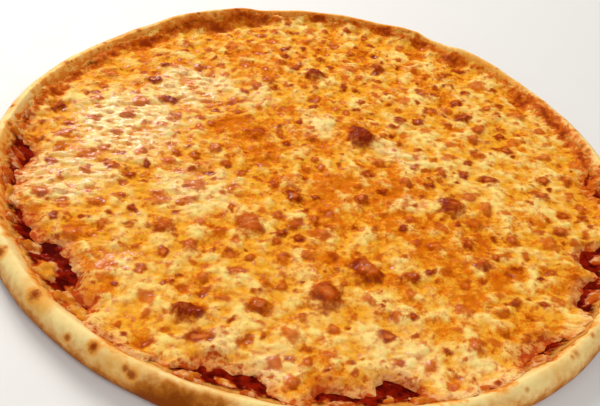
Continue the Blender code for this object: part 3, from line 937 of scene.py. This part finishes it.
UPPER_STEPS = 20
SLOPE_STEPS = 18
HIDDEN_STEPS = 4
DOUGH_SHOWS = 3 * MM
RELIEF_FADES_BELOW = 4 * MM
LUMP_SIZE = 16 * MM
SKIN_SIZE = 5 * MM
SKIN_SHARE = 0.18


def crust_section(turn):
    """Insets and heights of the dough's skin, from its contact with the table to below the cheese, for every
    angle: rows run along the section."""
    quarter = np.linspace(0, math.pi / 2, LOWER_STEPS + 1)[:-1]
    lower = [
        (RIM_CONTACT_INSET * (1 - math.sin(t)), RIM_WIDEST_HEIGHT * (1 - math.cos(t)), 0.0) for t in quarter
    ]
    quarter = np.linspace(0, math.pi / 2, UPPER_STEPS + 1)
    upper = [(RIM_CREST_INSET * (1 - math.cos(t)), RIM_WIDEST_HEIGHT, math.sin(t)) for t in quarter]
    rise = at("height", turn) - RIM_WIDEST_HEIGHT
    insets = [np.full(len(turn), inset) for inset, _, _ in lower + upper]
    heights = [low + share * rise for _, low, share in lower + upper]
    visible = at("sauce", turn) + DOUGH_SHOWS
    flat = np.maximum(at("cheese", turn) + SAUCE_UNDER_CHEESE, at("foot", turn)) + BEYOND_FOOT
    for start, end, steps in ((RIM_CREST_INSET, visible, SLOPE_STEPS), (visible, flat, HIDDEN_STEPS)):
        for share in np.linspace(0, 1, steps + 1)[1:]:
            insets.append(start + (end - start) * share)
            heights.append(dough_top(turn, insets[-1]))
    return np.array(insets), np.array(heights)


def rim_spots():
    """Rows of (angle, distance along the section from the crest outwards, radius, darkness) on the rim."""
    rows = [(math.radians(degrees), along * MM, size * MM, dark) for degrees, along, size, dark in RIM_SPOTS]
    draw = random.Random(RIM_SPOT_SEED)
    for _ in range(RIM_SPOT_COUNT):
        radius = draw.uniform(*RIM_SPOT_RADII_MM) * MM
        angle = draw.uniform(0, 2 * math.pi)
        along = draw.gauss(*RIM_SPOT_MIDDLE_AND_SPREAD_MM) * MM
        rows.append((angle, along, radius, draw.uniform(*RIM_SPOT_DARKNESS)))
    return rows


def rim_spot_fields(angle, arc, skin):
    """How far inside a spot of the rim each point is, and how dark that spot is."""
    inside = np.full(angle.shape, -1.0)
    darkness = np.zeros(angle.shape)
    for spot_angle, along, size, dark in rim_spots():
        away = ((angle - spot_angle + math.pi) % (2 * math.pi) - math.pi) * PIZZA_RADIUS
        depth = 1 - np.hypot(away, arc - along) / size - RIM_SPOT_FRAY * skin
        closer = (np.abs(away) < 2 * size) & (depth > inside)
        inside[closer] = depth[closer]
        darkness[closer] = dark
    return inside, darkness


def build_crust(look):
    turn = np.array(ANGLES[:-1])
    insets, heights = crust_section(turn)
    rows = len(insets)

    # Arc length along the section, from the crest outwards
    steps = np.hypot(np.diff(insets, axis=0), np.diff(heights, axis=0))
    arc = np.concatenate([np.zeros((1, AROUND)), np.cumsum(steps, 0)])
    arc = (arc[LOWER_STEPS + UPPER_STEPS] - arc).ravel()

    # The skin's own relief, along the section's normal
    slope_in, slope_up = np.gradient(insets, axis=0), np.gradient(heights, axis=0)
    length = np.hypot(slope_in, slope_up)
    out, up = (slope_up / length).ravel(), (slope_in / length).ravel()
    insets, heights, angle = insets.ravel(), heights.ravel(), np.tile(turn, rows)
    radius = at("outline", angle) - insets
    x, y = radius * np.cos(angle), radius * np.sin(angle)
    lumps = bumps(x, y, LUMP_SIZE, heights / LUMP_SIZE)
    skin = bumps(x, y, SKIN_SIZE, heights / SKIN_SIZE)
    free = smooth_step(heights / RELIEF_FADES_BELOW)
    free *= smooth_step((at("sauce", angle) + DOUGH_SHOWS - insets) / DOUGH_SHOWS)
    relief = look.rim_relief * (lumps + SKIN_SHARE * skin) * free
    radius, heights = radius + relief * out, heights + relief * up

    inside, darkness = rim_spot_fields(angle, arc, skin)
    # How high up the flank a point is, lower where the flank browned most; the colour turns brown below,
    # partly painted shade
    lift = heights / RIM_HEIGHT - at("flank", angle) * smooth_step(arc / FLANK_STARTS + 0.3)
    stain = 1 + (insets + at("ran up", angle) - at("sauce", angle)) / STAIN_FADES
    browning = at("browning", angle)
    rings = numbered_rings(rows, AROUND)
    faces = ring_faces(rings[::-1]) + [tuple(reversed(rings[0])), tuple(rings[-1])]
    points = np.stack([radius * np.cos(angle), radius * np.sin(angle), heights], 1)
    return add_piece(
        "crust_baked", "crust", "crust", points, faces, dough(look),
        inside=inside, darkness=darkness, stain=stain, lift=np.clip(lift, -0.3, 1.2),
        browning=browning * smooth_step(stain + 0.4),
        blot=blot_depth(angle, insets) - DOUGH_BLOT_HELD_BACK * (1 - browning),
    )


def dough(look):
    """Wheat dough, stretched and baked on a stone. Its top is a smooth pale skin with round toasted spots, it
    darkens to brown down its flank, partly browning towards the stone and partly painted shade, and fat and
    sauce stain its inner slope orange."""
    material, tree, shader = new_material("wheat_dough_baked")
    place = add(tree, "place")
    fine = add(tree, "noise", Vector=place, Scale=1 / (1.4 * MM), Detail=3.0)
    blush = add(tree, "noise", Vector=place, Scale=1 / (22 * MM), Detail=3.0)
    smear = add(tree, "noise", Vector=place, Scale=1 / (5 * MM), Detail=4.0, Roughness=0.6)
    inside, darkness, stain, lift = stored(tree, "inside darkness stain lift")
    colour = coat(tree, look.dough_pale, look.dough_golden, blush, 0.45, 0.8)

    # Browner down the flank towards the underside, partly browning and partly painted shade, and stained by
    # fat and then by sauce down the inner slope
    height = weighed(tree, lift, (smear, 0.8))
    colour = coat(tree, colour, look.dough_crusty_and_shade, height, 0.7, 1.45, above=0.0, below=1.0)
    colour = coat(tree, colour, look.dough_brown_and_shade, height, 0.4, 1.1, above=0.0, below=1.0)
    spread = weighed(tree, stain, (smear, 2.6))
    colour = coat(tree, colour, look.dough_fat, spread, 1.75, 2.35, above=0.9)
    colour = coat(tree, colour, look.dough_stain, spread, 2.2, 2.75, above=0.9)
    colour = browned(tree, look, place, colour)

    # Toasted spots with an orange halo
    ragged = weighed(tree, inside, (fine, 0.6), (smear, 1.0))
    for toasted, start, full, most in ((look.dough_fat, 0.2, 0.9, 0.95), (look.dough_spot, 0.7, 1.6, 1.0)):
        cover = add(tree, "blend in", Value=ragged, From_Min=start, From_Max=full, To_Max=most)
        cover = add(tree, "times", in0=cover, in1=darkness)
        colour = add(tree, "mix", Factor=cover, A=colour, B=toasted)
    grain = add(tree, "bump", Height=fine, Strength=0.3, Distance=0.3 * MM)
    connect(
        tree, shader, Base_Color=colour, Roughness=0.45, Normal=grain, IOR=1.4, Specular_IOR_Level=0.06,
        Subsurface_Weight=0.25, Subsurface_Radius=(1.0, 0.6, 0.3), Subsurface_Scale=3.0 * MM,
    )
    return material


# The stage


def add_light(name, place, aim, size, power, colour=(1, 1, 1)):
    """A square soft light at a place, turned to what it lights."""
    data = bpy.data.lights.new(name, "AREA")
    data.shape = "RECTANGLE"
    data.size, data.size_y = size
    data.energy = power
    data.color = colour
    light = bpy.data.objects.new(name, data)
    light.location = place
    light.rotation_euler = (Vector(aim) - Vector(place)).to_track_quat("-Z", "Y").to_euler()
    bpy.context.scene.collection.objects.link(light)
    return light


def build_stage(look):
    """A pale floor, soft studio light from behind and to the left, and the camera."""
    material, tree, shader = new_material("painted_board_matte")
    place = add(tree, "place")
    fibre = add(tree, "noise", Vector=place, Scale=40.0, Detail=4.0)
    shade = add(tree, "scale", Value=fibre, To_Min=0.5, To_Max=0.7)
    connect(tree, shader, Base_Color=look.floor, Roughness=shade)
    data = bpy.data.meshes.new("floor")
    half = look.floor_size / 2
    corners = [(-half, -half, 0), (half, -half, 0), (half, half, 0), (-half, half, 0)]
    data.from_pydata(corners, [], [(0, 1, 2, 3)])
    data.materials.append(material)
    floor = bpy.data.objects.new("floor", data)
    bpy.context.scene.collection.objects.link(floor)

    add_light("key", (-0.8, 1.2, 1.0), (0, 0, 0), (0.8, 0.6), look.key_power, (1.0, 0.97, 0.92))
    add_light("window", (-0.3, 1.7, 1.15), (0, 0, 0), (1.0, 0.7), look.window_power)
    add_light("fill", (0.3, -1.0, 1.3), (0, 0, 0), (1.2, 1.2), look.fill_power)
    scene = bpy.context.scene
    scene.world = bpy.data.worlds.new("studio")
    scene.world.use_nodes = True
    sky = scene.world.node_tree.nodes["Background"]
    sky.inputs["Color"].default_value = (1, 1, 1, 1)
    sky.inputs["Strength"].default_value = look.sky
    scene.view_settings.view_transform = "Standard"

    data = bpy.data.cameras.new("camera")
    data.lens = CAMERA_LENS_MM
    data.sensor_width = CAMERA_SENSOR_MM
    camera = bpy.data.objects.new("camera", data)
    forward = Vector((0, math.cos(CAMERA_PITCH), -math.sin(CAMERA_PITCH)))
    level = Vector((1, 0, 0))
    above = level.cross(forward)
    right = math.cos(CAMERA_ROLL) * level + math.sin(CAMERA_ROLL) * above
    up = -math.sin(CAMERA_ROLL) * level + math.cos(CAMERA_ROLL) * above
    turn = Matrix((right, up, -forward)).transposed().to_4x4()
    camera.matrix_world = Matrix.Translation(CAMERA_PLACE - outline_middle()) @ turn
    scene.collection.objects.link(camera)
    scene.camera = camera


# What a user can change


def colour_property(name, description, hex_colour):
    return FloatVectorProperty(
        name=name, description=description, default=linear(hex_colour), subtype="COLOR", min=0, max=1
    )


def length_property(name, description, millimetres):
    return FloatProperty(name=name, description=description, default=millimetres * MM, unit="LENGTH")


def power_property(name, description, watts):
    return FloatProperty(name=name, description=description, default=watts, unit="POWER")


class PizzaLook(bpy.types.PropertyGroup):
    """Sizes and colours of the pizza's layers."""

    strand_size: length_property("Strand size", "Distance between the melted shreds' ridges", 4.2)
    relief: length_property("Cheese relief", "Height of the cheese's fine relief", 1.2)
    edge_wander: length_property("Edge wander", "How far the melted edges wander", 3.8)
    pale_strength: FloatProperty(name="Paleness", description="How much the pale places differ", default=0.24)
    pulp: length_property("Sauce relief", "Height of the sauce's pulp", 0.6)
    rim_relief: length_property("Rim relief", "Height of the rim's small lumps", 0.5)
    cheese_gold: colour_property("Gold", "Most of the melted cheese", "F4AA2C")
    # Cream is partly pale ridges and partly a painted highlight on them; milky is a painted sheen, partly
    # pale cheese
    cheese_cream_and_highlight: colour_property("Cream", "Pale high places of the cheese", "FFDC7E")
    cheese_milky_and_sheen: colour_property("Milky", "High places where it stayed pale", "FFE096")
    cheese_orange: colour_property("Oil", "Cheese where the oil stands", "DC6C04")
    cheese_edge: colour_property("Edge", "The thin melted edge", "FCCF92")
    cheese_stained: colour_property("Stained edge", "The melted edge where it took up sauce", "BA3E0C")
    toast_light: colour_property("Toast", "Lightly toasted spots", "C84E04")
    # A painted highlight on the tops of the large blisters
    blister_top_highlight: colour_property("Blister top", "Tops of the large blisters, where the skin thinned", "E08842")
    toast_dark: colour_property("Dark toast", "Darkest blisters", "861C00")
    film_light: colour_property("Baked film", "Fat and cheese baked golden brown at the rim", "F2AC42")
    film_red: colour_property("Red film", "Sauce baked to a film at the rim", "D4620C")
    film_dark: colour_property("Dark film", "Where that film is darkest", "982C00")
    sauce_red: colour_property("Sauce", "Fresher tomato sauce", "8A1602")
    sauce_dark: colour_property("Dark sauce", "Dried tomato sauce", "4A0300")
    sauce_fat: colour_property("Fat on the sauce", "Orange fat and melted scraps on the sauce", "DB7E26")
    sauce_thin: colour_property("Thin sauce", "Sauce that runs out on the dough", "E29C44")
    dough_pale: colour_property("Dough", "The rim's pale skin", "FFE096")
    dough_golden: colour_property("Golden dough", "The rim where it took more heat", "F2B04C")
    # The flank's brown is partly browning and partly painted shade, darkest at the bottom
    dough_brown_and_shade: colour_property("Brown dough", "The underside and the low flank", "904206")
    dough_crusty_and_shade: colour_property("Crusty dough", "The flank above the underside", "DA8628")
    dough_fat: colour_property("Fat on the dough", "Fat soaked into the inner slope", "F6A844")
    dough_stain: colour_property("Stained dough", "Sauce on the inner slope", "DA761C")
    dough_spot: colour_property("Toasted dough", "Round spots on the rim", "A24002")


class StageLook(bpy.types.PropertyGroup):
    """The floor and the lights."""

    floor: colour_property("Floor", "Pale painted board", "ECEAE6")
    floor_size: FloatProperty(name="Floor size", description="Side of the floor", default=8.0, unit="LENGTH")
    key_power: power_property("Key light", "Power of the soft light above", 24)
    window_power: power_property("Window", "Power of the low soft light behind", 4)
    fill_power: power_property("Fill light", "Power of the front fill", 11)
    sky: FloatProperty(name="Sky", description="Strength of the even light all round", default=0.3)


class PIZZA_OT_crust(bpy.types.Operator):
    """Builds the baked dough with its rim"""

    bl_idname = "pizza.crust"
    bl_label = "Crust"

    def execute(self, context):
        build_crust(context.scene.pizza_look)
        return {"FINISHED"}


class PIZZA_OT_sauce(bpy.types.Operator):
    """Builds the tomato sauce that shows inside the rim"""

    bl_idname = "pizza.sauce"
    bl_label = "Sauce"

    def execute(self, context):
        build_sauce(context.scene.pizza_look)
        return {"FINISHED"}


class PIZZA_OT_cheese(bpy.types.Operator):
    """Builds the melted, blistered cheese"""

    bl_idname = "pizza.cheese"
    bl_label = "Cheese"

    def execute(self, context):
        build_cheese(context.scene.pizza_look)
        return {"FINISHED"}


class PIZZA_OT_stage(bpy.types.Operator):
    """Builds the floor, the lights and the camera"""

    bl_idname = "pizza.stage"
    bl_label = "Stage"

    def execute(self, context):
        build_stage(context.scene.stage_look)
        return {"FINISHED"}


class PIZZA_PT_panel(bpy.types.Panel):
    """Lists what can be built"""

    bl_label = "Cheese pizza"
    bl_idname = "PIZZA_PT_panel"
    bl_space_type = "VIEW_3D"
    bl_region_type = "UI"
    bl_category = "Pizza"

    def draw(self, context):
        for operator in OPERATORS:
            self.layout.operator(operator.bl_idname)
        for look in (context.scene.pizza_look, context.scene.stage_look):
            for name in look.__annotations__:
                self.layout.prop(look, name)


OPERATORS = (PIZZA_OT_crust, PIZZA_OT_sauce, PIZZA_OT_cheese, PIZZA_OT_stage)
CLASSES = (PizzaLook, StageLook, *OPERATORS, PIZZA_PT_panel)


def register():
    for cls in CLASSES:
        bpy.utils.register_class(cls)
    bpy.types.Scene.pizza_look = PointerProperty(type=PizzaLook)
    bpy.types.Scene.stage_look = PointerProperty(type=StageLook)


def unregister():
    del bpy.types.Scene.stage_look
    del bpy.types.Scene.pizza_look
    for cls in reversed(CLASSES):
        bpy.utils.unregister_class(cls)


def main():
    register()
    bpy.ops.pizza.crust()
    bpy.ops.pizza.sauce()
    bpy.ops.pizza.cheese()
    bpy.ops.pizza.stage()


if __name__ == "__main__":
    main()
